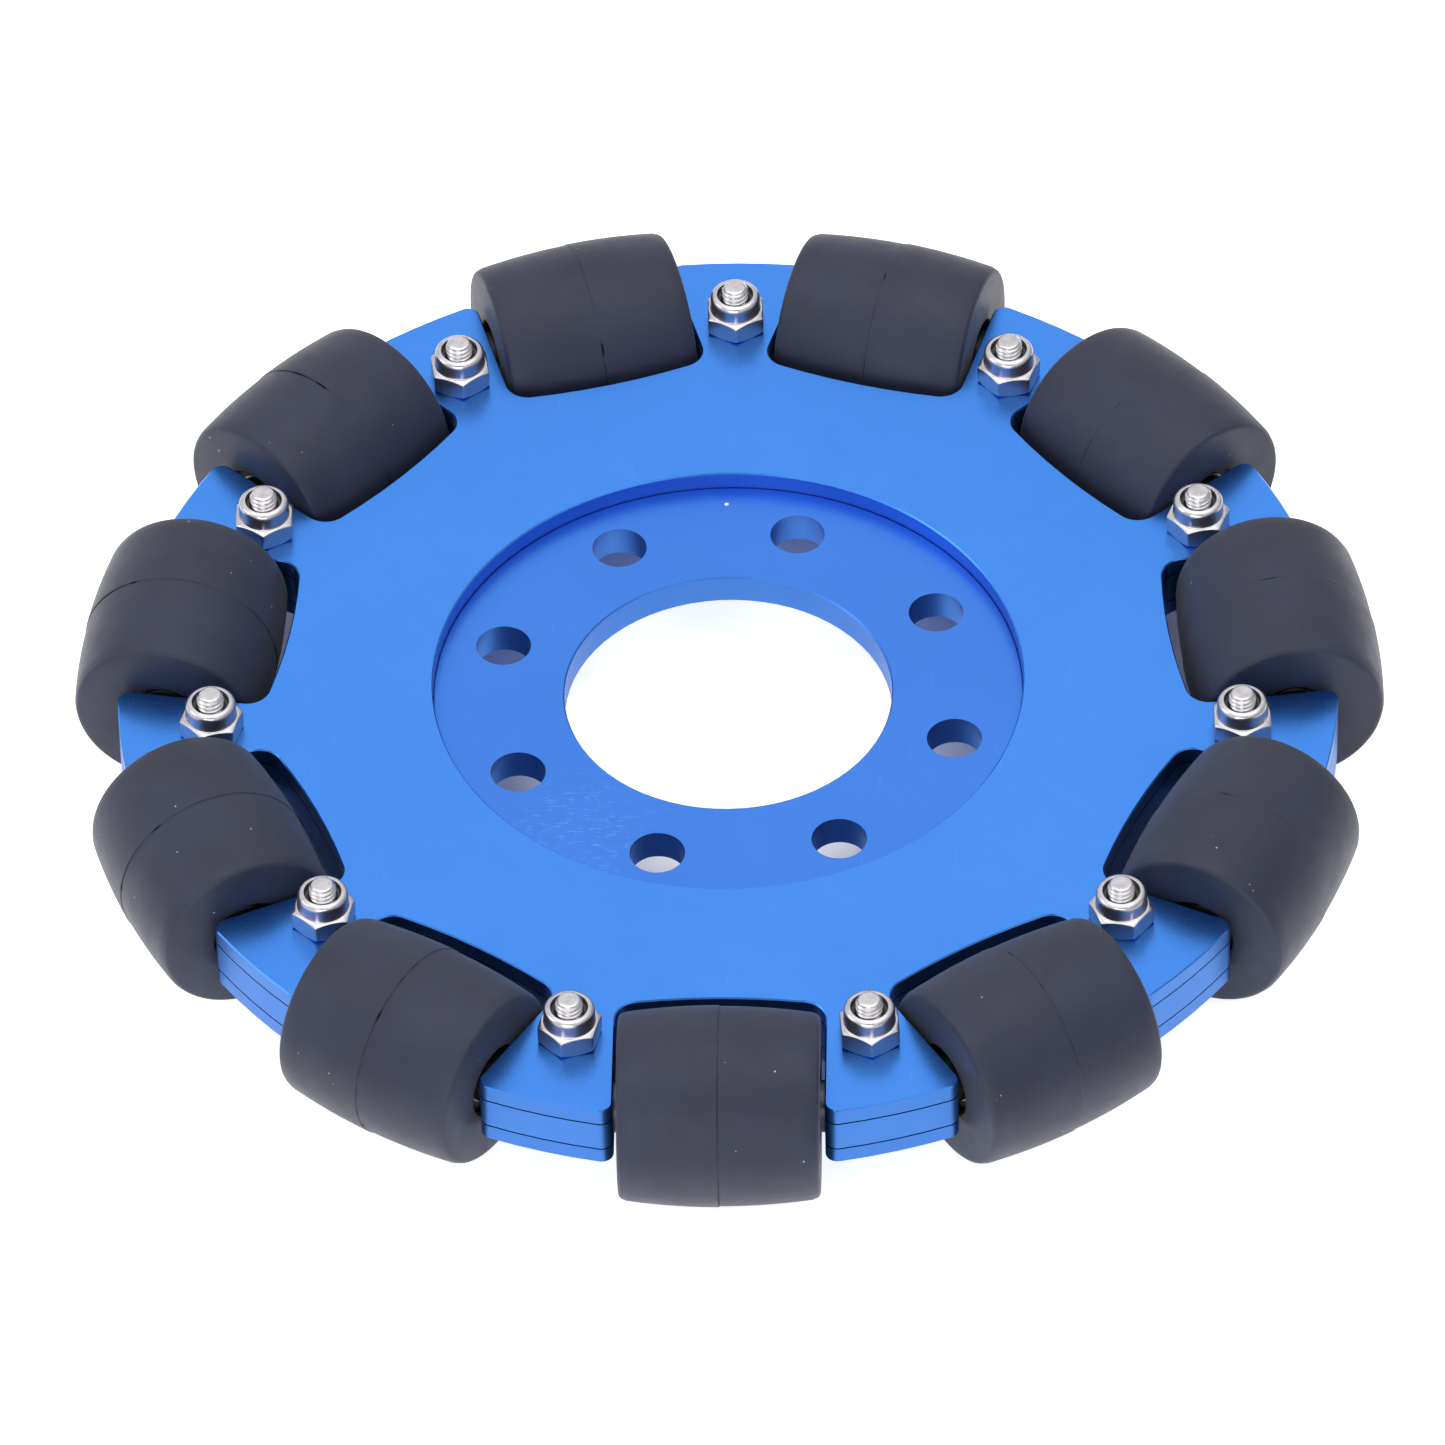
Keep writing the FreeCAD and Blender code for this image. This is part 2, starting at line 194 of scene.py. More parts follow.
def make_lights():
    """A pale surround, brightest overhead, with a darker patch where the photographer stands."""
    world = bpy.data.worlds.new("studio")
    bpy.context.scene.world = world
    world.use_nodes = True
    tree = world.node_tree
    background = tree.nodes["Background"]
    background.inputs["Strength"].default_value = ZENITH_LIGHT
    place = tree.nodes.new("ShaderNodeTexCoord").outputs["Generated"]
    split = tree.nodes.new("ShaderNodeSeparateXYZ")
    ramp = tree.nodes.new("ShaderNodeValToRGB")
    tree.links.new(place, split.inputs[0])
    tree.links.new(split.outputs["Z"], ramp.inputs["Fac"])
    stops = ramp.color_ramp.elements
    for stop, (height, level) in zip((stops[0], stops[1]), (SKY_LEVELS[0], SKY_LEVELS[-1])):
        stop.position = height
        stop.color = (level / ZENITH_LIGHT,) * 3 + (1,)
    for height, level in SKY_LEVELS[1:-1]:
        stops.new(height).color = (level / ZENITH_LIGHT,) * 3 + (1,)
    patch_span = (math.cos(math.radians(PATCH_OUTER)), math.cos(math.radians(PATCH_INNER)))
    to_camera = direction_along(tree, place, camera_direction())
    to_low_right = direction_along(tree, place, LOW_RIGHT)
    level = tree.nodes.new("ShaderNodeMath")
    level.operation = "MULTIPLY"
    patch = direction_fade(tree, to_camera, patch_span, (1.0, PATCH_LEVEL))
    right = direction_fade(tree, to_low_right, RIGHT_SPAN, (1.0, RIGHT_LEVEL))
    tree.links.new(patch, level.inputs[0])
    tree.links.new(right, level.inputs[1])
    scaled = tree.nodes.new("ShaderNodeVectorMath")
    scaled.operation = "SCALE"
    tree.links.new(ramp.outputs["Color"], scaled.inputs[0])
    tree.links.new(level.outputs[0], scaled.inputs["Scale"])
    tree.links.new(scaled.outputs["Vector"], background.inputs["Color"])
    area_light("key_box", **KEY_LIGHT)
    area_light("front_box", **FRONT_LIGHT)


def make_floor():
    """A large white sheet that the rollers stand on, with painted light: it glows to lift the soft
    shade around the wheel and under the bore, and stays dim under the plates.
    """
    half = FLOOR_HALF
    mesh = bpy.data.meshes.new("floor")
    corners = [(-half, -half, GROUND), (half, -half, GROUND),
               (half, half, GROUND), (-half, half, GROUND)]
    mesh.from_pydata(corners, [], [(0, 1, 2, 3)])
    floor = link(bpy.data.objects.new("floor", mesh))
    shader = Shader("floor_paper")
    shader.set(**{"Roughness": 0.85, "Specular IOR Level": 0.2, "Emission Color": (1, 1, 1, 1)})
    # Painted light: the floor's emission strength follows these masks.
    under_bore = shader.math("MULTIPLY", shader.near(BORE_VIEW, *BORE_VIEW_SPAN),
                             shader.near(BORE_SHADE, *BORE_SHADE_SPAN))
    around_wheel = shader.math("SUBTRACT", shader.near(BORE_VIEW, *OPEN_FLOOR_SPAN),
                               shader.near(BORE_VIEW, *WHEEL_SPAN))
    lifted = shader.math("ADD", under_bore, around_wheel)
    glow = shader.span(lifted, 0, 1, GLOW_SHADED, GLOW)
    shader.links.new(glow, shader.surface.inputs["Emission Strength"])
    fibre = shader.noise(scale=900, detail=3)
    shader.colour(fibre, (0.885, 0.885, 0.89), (0.905, 0.905, 0.905))
    shader.bump(fibre, 0.05, 0.00005)
    mesh.materials.append(shader.material)


# ---------------------------------------------------------------- materials

class Shader:
    """A Principled material that is built up from procedural layers."""

    def __init__(self, name):
        self.material = bpy.data.materials.new(name)
        self.material.use_nodes = True
        tree = self.material.node_tree
        self.nodes, self.links = tree.nodes, tree.links
        self.surface = self.nodes["Principled BSDF"]
        self.place = self.nodes.new("ShaderNodeTexCoord").outputs["Object"]
        self.normal = None

    def set(self, **values):
        """Set plain values on the surface's own sockets."""
        for name, value in values.items():
            self.surface.inputs[name].default_value = value

    def stretched(self, scale, turn=(0, 0, 0)):
        """Object coordinates, turned and then stretched."""
        node = self.nodes.new("ShaderNodeMapping")
        node.inputs["Scale"].default_value = scale
        node.inputs["Rotation"].default_value = turn
        self.links.new(self.place, node.inputs["Vector"])
        return node.outputs["Vector"]

    def noise(self, scale, detail=2.0, roughness=0.5, place=None):
        """A grey noise pattern, scale in cycles per metre."""
        node = self.nodes.new("ShaderNodeTexNoise")
        node.inputs["Scale"].default_value = scale
        node.inputs["Detail"].default_value = detail
        node.inputs["Roughness"].default_value = roughness
        self.links.new(place or self.place, node.inputs["Vector"])
        return node.outputs["Fac"]

    def flat_distance(self, centre):
        """The distance from an upright line through a point of the floor plan."""
        offset = self.nodes.new("ShaderNodeVectorMath")
        offset.operation = "SUBTRACT"
        offset.inputs[1].default_value = (centre[0], centre[1], 0)
        self.links.new(self.place, offset.inputs[0])
        flatten = self.nodes.new("ShaderNodeVectorMath")
        flatten.operation = "MULTIPLY"
        flatten.inputs[1].default_value = (1, 1, 0)
        self.links.new(offset.outputs["Vector"], flatten.inputs[0])
        length = self.nodes.new("ShaderNodeVectorMath")
        length.operation = "LENGTH"
        self.links.new(flatten.outputs["Vector"], length.inputs[0])
        return length.outputs["Value"]

    def near(self, centre, inner, outer):
        """1 within the inner distance of an upright line, fading to 0 at the outer one."""
        return self.span(self.flat_distance(centre), inner, outer, 1.0, 0.0)

    def upright(self):
        """1 on faces parallel to the wheel's axle and 0 on faces across it."""
        normal = self.nodes.new("ShaderNodeTexCoord").outputs["Normal"]
        split = self.nodes.new("ShaderNodeSeparateXYZ")
        self.links.new(normal, split.inputs[0])
        return self.span(self.math("ABSOLUTE", split.outputs["Z"]), 0.2, 0.6, 1.0, 0.0)

    def attribute(self, name):
        """A number stored on the mesh's points."""
        node = self.nodes.new("ShaderNodeAttribute")
        node.attribute_name = name
        return node.outputs["Fac"]

    def cells(self, scale, place=None):
        """The distance to the nearest of scattered points."""
        node = self.nodes.new("ShaderNodeTexVoronoi")
        node.inputs["Scale"].default_value = scale
        self.links.new(place or self.place, node.inputs["Vector"])
        return node.outputs["Distance"]

    def math(self, operation, first, second=0.5):
        """One arithmetic step on sockets or numbers."""
        node = self.nodes.new("ShaderNodeMath")
        node.operation = operation
        for value, socket in zip((first, second), node.inputs):
            if isinstance(value, (int, float)):
                socket.default_value = value
            else:
                self.links.new(value, socket)
        return node.outputs[0]

    def span(self, value, low, high, to_low=0.0, to_high=1.0):
        """Map low..high of a pattern smoothly to another span."""
        node = self.nodes.new("ShaderNodeMapRange")
        node.interpolation_type = "SMOOTHSTEP"
        for name, number in (("From Min", low), ("From Max", high),
                             ("To Min", to_low), ("To Max", to_high)):
            node.inputs[name].default_value = number
        self.links.new(value, node.inputs["Value"])
        return node.outputs["Result"]

    def mix(self, factor, first, second):
        """Blend two colours, each a socket or an RGB triple."""
        node = self.nodes.new("ShaderNodeMix")
        node.data_type = "RGBA"
        sockets = [s for s in node.inputs if s.type == "RGBA"]
        self.links.new(factor, node.inputs[0])
        for value, socket in zip((first, second), sockets):
            if isinstance(value, tuple):
                socket.default_value = value + (1,)
            else:
                self.links.new(value, socket)
        return [s for s in node.outputs if s.type == "RGBA"][0]

    def colour(self, factor, first, second):
        """Drive the base colour from a pattern, and return it for another layer."""
        result = self.mix(factor, first, second)
        self.links.new(result, self.surface.inputs["Base Color"])
        return result

    def roughness(self, factor, low, high):
        """Drive the roughness from a 0..1 pattern."""
        self.links.new(self.span(factor, 0, 1, low, high), self.surface.inputs["Roughness"])

    def bump(self, height, strength, distance):
        """Add a layer of relief."""
        node = self.nodes.new("ShaderNodeBump")
        node.inputs["Strength"].default_value = strength
        node.inputs["Distance"].default_value = distance
        self.links.new(height, node.inputs["Height"])
        if self.normal:
            self.links.new(self.normal, node.inputs["Normal"])
        self.normal = node.outputs["Normal"]
        self.links.new(self.normal, self.surface.inputs["Normal"])


def fine_lines(shader, scale, turn, density):
    """Thin straight scratches along one direction, 1 in a scratch and 0 elsewhere."""
    along = shader.stretched((scale, scale * 0.03, scale * 0.03), turn)
    streak = shader.noise(1.0, detail=1.0, place=along)
    patch = shader.noise(60, detail=1.0)
    thin = shader.span(streak, density, density + 0.03)
    return shader.math("MULTIPLY", thin, shader.span(patch, 0.45, 0.62))


CLOUD_SCALE = 28
GRAIN_SCALE = 5200
MOTTLE_SCALE = 160
GRAIN_PART = 0.12
MARK_STRENGTH = 0.4
CUT_ROUGHNESS = 0.12
RECESS_FADE = 5 * MM
# Painted tones for upright faces: painted shade on the outer walls and on the core, and a paler
# painted reflection of the floor on the covers' inner walls.
COVER_WALL_SHADE = (0.052, 0.17, 0.50)
RECESS_WALL_REFLECTION = (0.13, 0.27, 0.70)
CORE_WALL_SHADE = (0.058, 0.185, 0.53)
JOINT_PAINTED_SHADE = (0.008, 0.018, 0.10)
RECESS_RADIUS = 45 * MM
SCUFF_CENTRE = (-0.021, -0.029)
SPECK_CENTRE = (-0.0009, 0.0413)


def anodised(name, light, deep, wall_shade, inner_wall_painted_light, rough_low, rough_high, scratches):
    """Blue anodised aluminium: satin faces with a fine grain, and rougher upright cut faces
    coloured with painted shade; inside the recess radius the upright walls take their own painted
    tone, a painted reflection of the pale floor on the covers.
    """
    shader = Shader(name)
    shader.set(Metallic=1.0)
    cloud = shader.noise(CLOUD_SCALE, detail=4.0)
    grain = shader.noise(GRAIN_SCALE, detail=2.0)
    base = shader.mix(shader.span(cloud, 0.3, 0.7), deep, light)
    marks = shader.math(
        "MAXIMUM",
        fine_lines(shader, 5200, (0, 0, 0.5), scratches),
        fine_lines(shader, 4300, (0, 0, 2.1), scratches),
    )
    worn = tuple(min(1.0, 1.25 * part + 0.03) for part in light)
    marked = shader.mix(shader.math("MULTIPLY", marks, MARK_STRENGTH), base, worn)
    # Upright faces get painted shade, and inside the recess radius a second painted tone; finish
    # carries the real marks and these painted tones.
    cut = shader.upright()
    inside = shader.near((0, 0), RECESS_RADIUS, RECESS_RADIUS + RECESS_FADE)
    finish = shader.mix(cut, marked, shader.mix(inside, wall_shade, inner_wall_painted_light))
    shader.links.new(finish, shader.surface.inputs["Base Color"])
    mottle = shader.math("ADD", shader.math("MULTIPLY", grain, GRAIN_PART),
                         shader.math("MULTIPLY", shader.noise(MOTTLE_SCALE, detail=3.0),
                                     1 - GRAIN_PART))
    satin = shader.span(mottle, 0, 1, rough_low, rough_high)
    rough = shader.math("ADD", satin, shader.math("MULTIPLY", cut, CUT_ROUGHNESS))
    shader.links.new(rough, shader.surface.inputs["Roughness"])
    shader.bump(grain, 0.02, 0.00001)
    shader.bump(marks, 0.15, -0.00001)
    return shader, finish, cut


def recess_wear_and_shade(shader, finish, cut):
    """What shows on the recess floor: painted shade in the joint where the recess wall meets it, a
    scuffed patch and a speck of lint.
    """
    # A thin ring of painted shade along the foot of the recess wall.
    outside = shader.span(shader.flat_distance((0, 0)), RECESS_RADIUS - 0.25 * MM,
                          RECESS_RADIUS - 0.1 * MM)
    joint = shader.math("MULTIPLY", outside, shader.math("SUBTRACT", 1.0, cut))
    joint_shaded = shader.mix(joint, finish, JOINT_PAINTED_SHADE)
    streaks = shader.noise(1.0, detail=2.0, place=shader.stretched((420, 4200, 420), (0, 0, 0.2)))
    blots = shader.noise(700, detail=3.0)
    scuffs = shader.math("MULTIPLY", shader.span(streaks, 0.52, 0.66),
                         shader.span(blots, 0.42, 0.62))
    patch = shader.math("MULTIPLY", scuffs, shader.near(SCUFF_CENTRE, 0.004, 0.016))
    scuffed = shader.mix(shader.math("MULTIPLY", patch, 0.5), joint_shaded, (0.22, 0.40, 0.92))
    speck = shader.mix(shader.near(SPECK_CENTRE, 0.25 * MM, 0.4 * MM), scuffed, (0.95, 0.95, 0.95))
    shader.links.new(speck, shader.surface.inputs["Base Color"])
    shader.bump(patch, 0.2, 0.00002)


SIDE_FADE = (0.82, 0.74, 0.72)
SIDE_ROUGHNESS = 0.14


def bright_metal(name, tint, rough_low, rough_high, line_scale):
    """Plated or stainless steel with a faint turned finish and small blemishes."""
    shader = Shader(name)
    shader.set(Metallic=1.0)
    stain = shader.noise(700, detail=3.0)
    dull = tuple(0.82 * part for part in tint)
    faces = shader.mix(shader.span(stain, 0.35, 0.7), tint, dull)
    side = shader.upright()
    duller = tuple(part * fade for part, fade in zip(tint, SIDE_FADE))
    shader.colour(side, faces, duller)
    rings = shader.noise(1.0, detail=2.0, place=shader.stretched((300, 300, line_scale)))
    rough = shader.math("ADD", shader.span(rings, 0, 1, rough_low, rough_high),
                        shader.math("MULTIPLY", side, SIDE_ROUGHNESS))
    shader.links.new(rough, shader.surface.inputs["Roughness"])
    shader.bump(rings, 0.12, 0.00002)
    pits = shader.span(shader.cells(2600), 0.05, 0.16)
    shader.bump(pits, 0.08, 0.00001)
    return shader.material


def rubber(name, light, dark):
    """Moulded rubber: matt, with a fine skin, faint scuffs, a little dust, and painted shade along
    the parting line's groove.
    """
    shader = Shader(name)
    shader.set(**{"Sheen Weight": 0.1, "Sheen Roughness": 0.45})
    cloud = shader.noise(90, detail=4.0)
    base = shader.mix(shader.span(cloud, 0.32, 0.68), dark, light)
    specks = shader.span(shader.cells(480), 0.05, 0.08, 1.0, 0.0)
    rare = shader.math("MULTIPLY", specks, shader.span(shader.noise(150), 0.6, 0.66))
    dusty = shader.mix(rare, base, (0.5, 0.5, 0.52))
    # Painted shade: the parting line's groove is coloured near black and loses most of its
    # specular.
    groove_shade = shader.attribute("groove_shade")
    groove_shaded = shader.mix(groove_shade, dusty, (0.002, 0.002, 0.004))
    shader.links.new(groove_shaded, shader.surface.inputs["Base Color"])
    groove_dimmed_specular = shader.span(groove_shade, 0, 1, 0.42, 0.05)
    shader.links.new(groove_dimmed_specular, shader.surface.inputs["Specular IOR Level"])
    skin = shader.noise(2600, detail=3.0)
    shader.roughness(shader.noise(260, detail=3.0), 0.46, 0.62)
    shader.bump(skin, 0.25, 0.00004)
    shader.bump(shader.noise(420, detail=2.0), 0.15, 0.0001)
    shader.bump(rare, 0.4, 0.00006)
    return shader.material


def moulded_plastic(name, light, dark, rough_low, rough_high):
    """Hard moulded plastic with a fine texture."""
    shader = Shader(name)
    cloud = shader.noise(300, detail=3.0)
    shader.colour(cloud, dark, light)
    shader.roughness(shader.noise(900), rough_low, rough_high)
    shader.bump(shader.noise(3500), 0.2, 0.00003)
    return shader.material


# ---------------------------------------------------------------- meshes

def make_mesh(name, points, faces, material, smooth=True):
    """A mesh object in the scene."""
    mesh = bpy.data.meshes.new(name)
    mesh.from_pydata([tuple(point) for point in points], [], faces)
    mesh.validate()
    mesh.update()
    mesh.materials.append(material)
    for face in mesh.polygons:
        face.use_smooth = smooth
    return link(bpy.data.objects.new(name, mesh))


def grid_faces(rows, columns, closed_rows=False):
    """Quads between rings of points; each ring is closed."""
    faces = []
    last = rows if closed_rows else rows - 1
    for row in range(last):
        after = (row + 1) % rows
        for column in range(columns):
            beside = (column + 1) % columns
            faces.append((row * columns + column, row * columns + beside,
                          after * columns + beside, after * columns + column))
    return faces


def arc_points(centre, radius, start, end, steps):
    """Points on an arc in a (radius, height) outline; angles in degrees."""
    points = []
    for step in range(steps + 1):
        angle = math.radians(start + (end - start) * step / steps)
        points.append((centre[0] + radius * math.cos(angle),
                       centre[1] + radius * math.sin(angle)))
    return points


def roller_frame(angle):
    """The matrix from a roller's own frame, with its axis along +Z, to the row frame."""
    place = Matrix.Translation((ROLLER_CIRCLE, 0, 0))
    stand = Matrix.Rotation(-math.pi / 2, 4, "X")
    return Matrix.Rotation(angle, 4, "Z") @ place @ stand


def skin(rows):
    """Points and faces of a closed surface through rings of points, with both ends capped."""
    columns = len(rows[0])
    points = [point for row in rows for point in row]
    faces = grid_faces(len(rows), columns)
    for row, flip in ((rows[0], True), (rows[-1], False)):
        middle = sum(row, Vector()) / columns
        start = 0 if flip else (len(rows) - 1) * columns
        points.append(middle)
        tip = len(points) - 1
        for column in range(columns):
            beside = (column + 1) % columns
            face = (tip, start + column, start + beside)
            faces.append(face[::-1] if flip else face)
    return points, faces


def ring_skin(rows):
    """Points and faces of a closed ring: the last row of points joins the first."""
    points = [point for row in rows for point in row]
    return points, grid_faces(len(rows), len(rows[0]), closed_rows=True)


def ring(radius, height, angles):
    """A ring of points; the radius is a number or a function of the angle."""
    points = []
    for angle in angles:
        reach = radius(angle) if callable(radius) else radius
        points.append(Vector((reach * math.cos(angle), reach * math.sin(angle), height)))
    return points


def repeated(points, faces, matrices):
    """One set of points and faces holding a copy for each matrix."""
    all_points, all_faces = [], []
    for matrix in matrices:
        start = len(all_points)
        all_points.extend(matrix @ point for point in points)
        all_faces.extend(tuple(start + index for index in face) for face in faces)
    return all_points, all_faces


def tooth_places(height, turns):
    """Where the fasteners stand, each turned about itself from -Y by so many degrees."""
    places = []
    for index, own_turn in enumerate(turns):
        around = FIRST_ANGLE + PITCH * (index + 0.5)
        place = (SCREW_CIRCLE * math.cos(around), SCREW_CIRCLE * math.sin(around), height)
        turned = Matrix.Rotation(math.radians(own_turn - 90), 4, "Z")
        places.append(Matrix.Translation(place) @ turned)
    return places


def crisp(obj):
    """Keep flat faces flat beside narrow rounded edges."""
    modifier = obj.modifiers.new("flat_faces", "WEIGHTED_NORMAL")
    modifier.keep_sharp = True
    modifier.weight = 80


# ---------------------------------------------------------------- rollers

CORE_RADIUS = 10.5 * MM
LIP_RADIUS = 5.8 * MM
LIP_LENGTH = 1.4 * MM
TYRE_EDGE = 0.9 * MM
PARTING_DEPTH = 0.08 * MM
PARTING_RIDGE = 0.035 * MM
PARTING_WIDTH = 0.14 * MM
PARTING_STEP = 0.13 * MM


def tyre_outline():
    """(radius, height) points from the bore, out over one end, along the crown and back."""
    soft = 0.3 * MM
    crown_end = math.sqrt(WHEEL_RADIUS ** 2 - HALF_LENGTH ** 2) - ROLLER_CIRCLE
    lean = math.degrees(math.asin(HALF_LENGTH / WHEEL_RADIUS))
    corner = (crown_end - TYRE_EDGE, HALF_LENGTH - TYRE_EDGE)
    half = [(CORE_RADIUS, HALF_LENGTH - LIP_LENGTH), (LIP_RADIUS, HALF_LENGTH - LIP_LENGTH)]
    half += arc_points((LIP_RADIUS + soft, HALF_LENGTH - soft), soft, 180, 90, 4)
    half += arc_points(corner, TYRE_EDGE, 90, lean, 8)
    steps = 12
    first = corner[1] + TYRE_EDGE * math.sin(math.radians(lean)) - 0.4 * MM
    for step in range(steps):
        height = first + (4 * PARTING_WIDTH - first) * step / (steps - 1)
        half.append((math.sqrt(WHEEL_RADIUS ** 2 - height ** 2) - ROLLER_CIRCLE, height))
    fine = [3.0, 2.4, 2.0, 1.6, 1.2, 0.9, 0.6, 0.3]
    crown = WHEEL_RADIUS - ROLLER_CIRCLE
    half += [(crown, part * PARTING_WIDTH) for part in fine]
    mirrored = [(radius, -height) for radius, height in reversed(half)]
    return half + [(crown, 0)] + mirrored


def seam_strength(draw):
    """How strong the parting line is around the tyre, as a function of the angle."""
    calm = draw.uniform(0, 6.28)
    waves = [(draw.randint(1, 4), draw.uniform(0, 6.28), draw.uniform(0.2, 0.4)),
             (draw.randint(4, 11), draw.uniform(0, 6.28), draw.uniform(0.2, 0.4)),
             (draw.randint(12, 29), draw.uniform(0, 6.28), draw.uniform(0.1, 0.2))]
    nicks = [(draw.uniform(0, 6.28), draw.uniform(0.02, 0.07), draw.uniform(-1.2, 1.6))
             for _ in range(6)]

    def strength(angle):
        level = 0.45 + sum(size * math.sin(count * angle + start) for count, start, size in waves)
        level *= 0.35 + 0.65 * math.sin(1.5 * (angle - calm)) ** 2
        for place, width, size in nicks:
            gap = (angle - place + math.pi) % (2 * math.pi) - math.pi
            level += size * math.exp(-(gap / width) ** 2)
        return min(1.6, max(0.04, level))
    return strength


def make_tyre(index, material):
    """One roller's tyre, with the irregular line that the two halves of its mould left."""
    draw = random.Random(SEED + index)
    columns = 144
    angles = [2 * math.pi * column / columns for column in range(columns)]
    groove = seam_strength(draw)
    ridge = seam_strength(draw)
    rows, marks = [], []
    for radius, height in tyre_outline():
        across = height / PARTING_WIDTH
        on_crown = 1 if radius > CORE_RADIUS + 2.5 * MM else 0
        low = on_crown * math.exp(-across ** 2)
        high = on_crown * math.exp(-(across - 1.8) ** 2)
        step = on_crown / (1 + math.exp(-5 * across))
        row = []
        for angle in angles:
            reach = radius - low * PARTING_DEPTH * groove(angle)
            reach += high * PARTING_RIDGE * ridge(angle) - step * PARTING_STEP
            row.append(Vector((reach * math.cos(angle), reach * math.sin(angle), height)))
            marks.append(min(1.0, low * groove(angle)))
        rows.append(row)
    points, faces = ring_skin(rows)
    matrix = roller_frame(FIRST_ANGLE + PITCH * index)
    name = "roller_{:02d}".format(index + 1)
    tyre = make_mesh(name + "_rubber", [matrix @ point for point in points],
                     [face[::-1] for face in faces], material)
    # The groove's depth at each point drives the painted shade in the tyre material.
    groove_shade = tyre.data.attributes.new("groove_shade", "FLOAT", "POINT")
    groove_shade.data.foreach_set("value", marks)
    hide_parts(name + "_tyre")
    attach(tyre, name)


# ---------------------------------------------------------------- fasteners

NUT_FLATS = 8.6 * MM
NUT_CORNER_HEIGHT = 3.0 * MM
NUT_SHOULDER = 3.45 * MM
NUT_LEDGE = 4.1 * MM
NUT_COLLAR = 3.85 * MM
NUT_ROUNDING = 0.92 * MM
NUT_OPENING = 2.8 * MM
NUT_BORE = 2.12 * MM
NUT_FOOT = 4.25 * MM
INSERT_SEAT = 3.2 * MM
INSERT_LOW = 4.4 * MM
INSERT_HIGH = 5.4 * MM
HEAD_RADIUS = 3.95 * MM
HEAD_FLAT = 2.1 * MM
SOCKET_FLATS = 2.4 * MM
SOCKET_DEPTH = 1.3 * MM


def hexagon_radius(across_flats, rounding=0.993):
    """The radius of a hexagon with a rounded corner on +X, as a function of the angle."""
    def radius(angle):
        off = angle % (math.pi / 3) - math.pi / 6
        full = across_flats / 2 / math.cos(off)
        return min(full, across_flats / math.sqrt(3) * rounding)
    return radius


def hexagon_angles():
    """Angles that fall on the corners of a hexagon and evenly between them."""
    offsets = [0, 1.6, 6, 10, 14, 18, 22, 26, 30, 34, 38, 42, 46, 50, 54, 58.4]
    return [math.radians(60 * side + offset) for side in range(6) for offset in offsets]


def nut_surface():
    """The nut as a closed ring of points: foot, flats, chamfer, collar, opening and bore."""
    angles = hexagon_angles()
    flats = hexagon_radius(NUT_FLATS)
    corner = NUT_FLATS / math.sqrt(3)
    slope = (NUT_SHOULDER - NUT_CORNER_HEIGHT) / (corner - NUT_LEDGE)
    ease = 0.09 * MM

    def side_row(shift_out, shift_up, base):
        row = []
        for angle in angles:
            reach = flats(angle)
            if base == "foot":
                height = max(0, reach - NUT_FOOT) * 0.5
            else:
                height = NUT_CORNER_HEIGHT + (corner - reach) * slope
            reach -= shift_out
            row.append(Vector((reach * math.cos(angle), reach * math.sin(angle),
                               height + shift_up)))
        return row

    top = (NUT_COLLAR - NUT_ROUNDING, NUT_HEIGHT - NUT_ROUNDING)
    collar = arc_points(top, NUT_ROUNDING, 0, 90, 10)
    lip = arc_points((NUT_OPENING + 0.12 * MM, NUT_HEIGHT - 0.12 * MM), 0.12 * MM, 90, 180, 3)
    rows = [ring(NUT_FOOT - ease, 0, angles), ring(NUT_FOOT, 0.01 * MM, angles)]
    rows += [side_row(ease * 0.6, 0.3 * ease, "foot"), side_row(0, ease, "foot")]
    rows += [side_row(0, -ease, "top"), side_row(ease * 0.25, -ease * 0.2, "top"),
             side_row(ease, ease * slope, "top")]
    rows += [ring(NUT_LEDGE + ease, NUT_SHOULDER - ease * slope, angles),
             ring(NUT_LEDGE - ease * 0.3, NUT_SHOULDER, angles),
             ring(NUT_COLLAR + ease, NUT_SHOULDER + ease * 0.1, angles),
             ring(NUT_COLLAR, NUT_SHOULDER + ease, angles)]
    rows += [ring(radius, height, angles) for radius, height in collar + lip]
    inner = [(NUT_OPENING, INSERT_HIGH + 0.15 * MM), (INSERT_SEAT, INSERT_HIGH),
             (INSERT_SEAT, INSERT_LOW), (NUT_BORE, INSERT_LOW), (NUT_BORE, 0.35 * MM),
             (NUT_BORE + 0.35 * MM, 0)]
    rows += [ring(radius, height, angles) for radius, height in inner]
    return ring_skin(rows)


def insert_surface():
    """The nylon ring, with a rounded top."""
    steps = 72
    angles = [2 * math.pi * step / steps for step in range(steps)]
    low, high = INSERT_LOW, INSERT_HIGH - 0.05 * MM
    crown = 0.25 * MM
    outline = [(THREAD_RADIUS + 0.01 * MM, low), (INSERT_SEAT - 0.02 * MM, low)]
    outline += arc_points((INSERT_SEAT - 0.02 * MM - crown, high - crown), crown, 0, 90, 4)
    outline += arc_points((THREAD_RADIUS + 0.3 * MM, high - 0.3 * MM), 0.29 * MM, 90, 180, 4)
    return ring_skin([ring(radius, height, angles) for radius, height in outline])


def thread_depth_at(turns):
    """How deep the thread's groove is, 0 to 1, at a place counted in turns."""
    part = turns % 1.0
    crest, root = 0.14, 0.10
    rise = (1 - crest - root) / 2
    if part < crest:
        return 0.0
    if part < crest + rise:
        return (part - crest) / rise
    if part < crest + rise + root:
        return 1.0
    return 1 - (part - crest - rise - root) / rise


